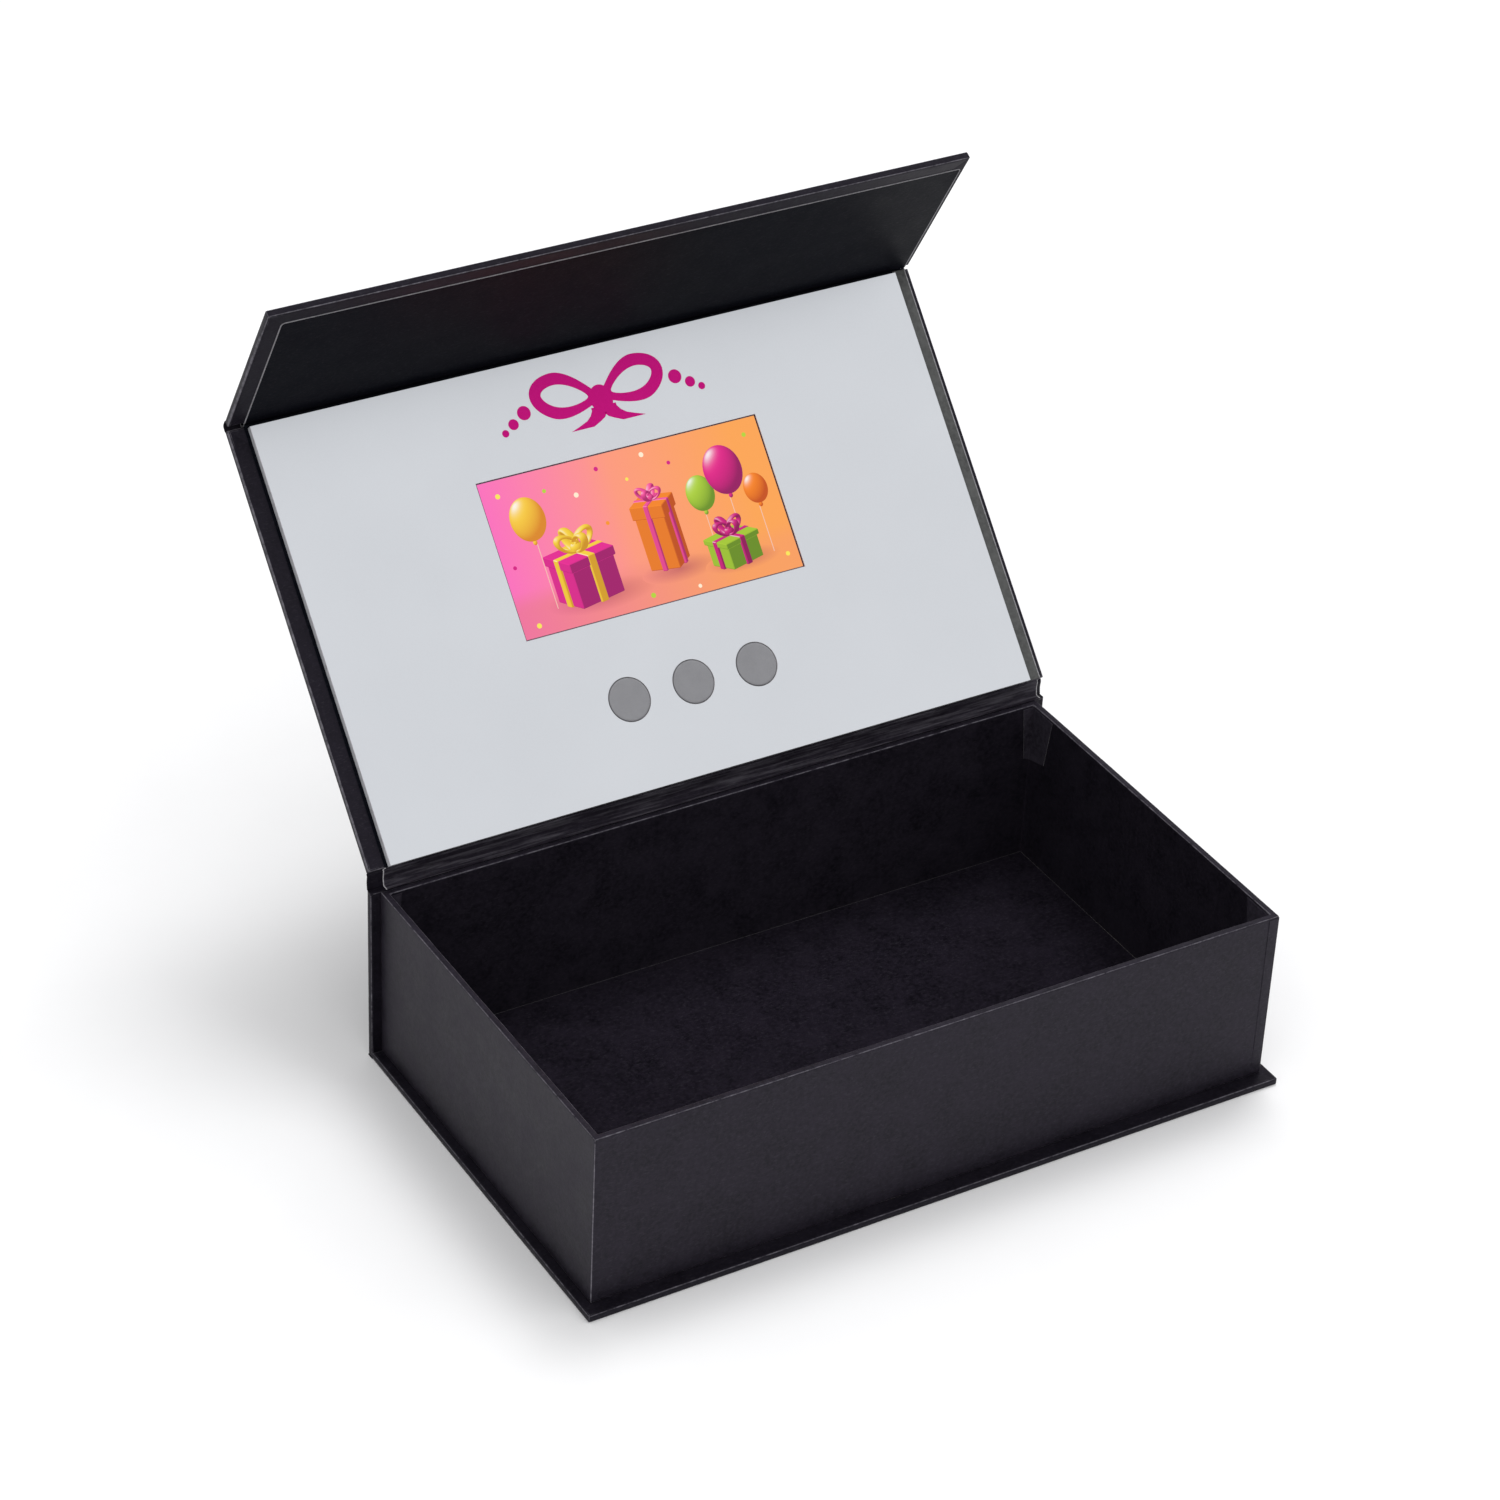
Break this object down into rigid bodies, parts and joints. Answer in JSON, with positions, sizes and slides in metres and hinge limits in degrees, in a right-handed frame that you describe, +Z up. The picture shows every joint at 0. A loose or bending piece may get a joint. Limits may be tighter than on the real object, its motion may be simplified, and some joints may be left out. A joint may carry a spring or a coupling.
{
  "type": "video gift box",
  "caption": "Paper-wrapped rigid gift box with an open tray, a book-style hinged lid, a folding magnetic front flap and a video screen with round push buttons inside the lid.",
  "frame": {"origin": "middle of the base's underside, on the table", "axes": "+X along the lid's hinge to the right as seen from the front, +Y from the front to the hinge, +Z up; the lid stands open and the flap half folded as in the picture"},
  "size_m": [0.265, 0.2608, 0.249],
  "materials": {
    "greyboard": "bare grey board",
    "wrap_paper": "matte charcoal-black wrapping paper",
    "liner_paper": "matte black lining paper",
    "silver_card": "satin silver-grey printed card",
    "plated_magnet": "nickel-plated",
    "keeper_steel": "plated sheet steel",
    "folded_steel": "bright folded sheet",
    "screen_glass": "smooth, lit from behind",
    "white_plastic": "moulded",
    "sticky_tape": "double-sided tape",
    "battery_foil": "laminated foil pouch",
    "black_plastic": "moulded",
    "chip_resin": "moulded resin",
    "cone_paper": "pressed paper",
    "circuit_board": "green solder resist",
    "lead_cover": "soft insulated wire",
    "ribbon_film": "amber film",
    "button_plastic": "smooth grey"
  },
  "bodies": {
    "tray": {"base_board": "greyboard", "base_wrap": "wrap_paper", "base_crease": "wrap_paper", "spine_board": "greyboard", "spine_wrap": "wrap_paper", "tray_front_wall": "greyboard", "tray_back_wall": "greyboard", "tray_left_wall": "greyboard", "tray_right_wall": "greyboard", "tray_floor": "greyboard", "tray_wrap": "wrap_paper", "floor_liner": "liner_paper", "keeper_discs": "keeper_steel", "trigger_magnet": "plated_magnet", "lid_crease": "wrap_paper", "lid_hinge_liner": "liner_paper"},
    "lid": {"lid_board": "greyboard", "lid_wrap": "wrap_paper", "lid_liner": "liner_paper", "module_spacer": "greyboard", "facing_card": "silver_card", "lcd_bezel": "folded_steel", "lcd_glass": "screen_glass", "lcd_backlight": "white_plastic", "lcd_tape": "sticky_tape", "battery": "battery_foil", "speaker": "black_plastic", "speaker_cone": "cone_paper", "button_board": "circuit_board", "main_board": "circuit_board", "part_pads": "sticky_tape", "main_board_chips": "chip_resin", "lid_sensor": "chip_resin", "charging_socket": "folded_steel", "button_switches": "black_plastic", "battery_leads": "lead_cover", "speaker_leads": "lead_cover", "display_ribbon": "ribbon_film", "display_connector": "white_plastic", "button_ribbon": "ribbon_film", "flap_crease": "wrap_paper", "flap_hinge_liner": "liner_paper"},
    "flap": {"flap_board": "greyboard", "flap_wrap": "wrap_paper", "flap_magnets": "plated_magnet", "flap_liner": "liner_paper"},
    "volume_down_button": {"volume_down_button": "button_plastic"},
    "play_button": {"play_button": "button_plastic"},
    "volume_up_button": {"volume_up_button": "button_plastic"}
  },
  "joints": [
    {"name": "lid_hinge", "type": "hinge", "parent": "tray", "child": "lid", "pos_m": [0, 0.0776, 0.0735], "axis": [-1, 0, 0], "range_deg": [-132.4, 47.6], "deforming": ["lid_crease", "lid_hinge_liner"]},
    {"name": "flap_hinge", "type": "hinge", "parent": "lid", "child": "flap", "pos_m": [0, 0.1832, 0.18914], "axis": [1, 0, 0], "range_deg": [-88, 19], "deforming": ["flap_crease", "flap_hinge_liner"]},
    {"name": "volume_down_press", "type": "slide", "parent": "lid", "child": "volume_down_button", "axis": [0, 0.7385, -0.6743], "range_m": [0, 0.0004], "stiffness_N_per_m": 800, "springref_m": -0.001},
    {"name": "play_press", "type": "slide", "parent": "lid", "child": "play_button", "axis": [0, 0.7385, -0.6743], "range_m": [0, 0.0004], "stiffness_N_per_m": 800, "springref_m": -0.001},
    {"name": "volume_up_press", "type": "slide", "parent": "lid", "child": "volume_up_button", "axis": [0, 0.7385, -0.6743], "range_m": [0, 0.0004], "stiffness_N_per_m": 800, "springref_m": -0.001}
  ]
}
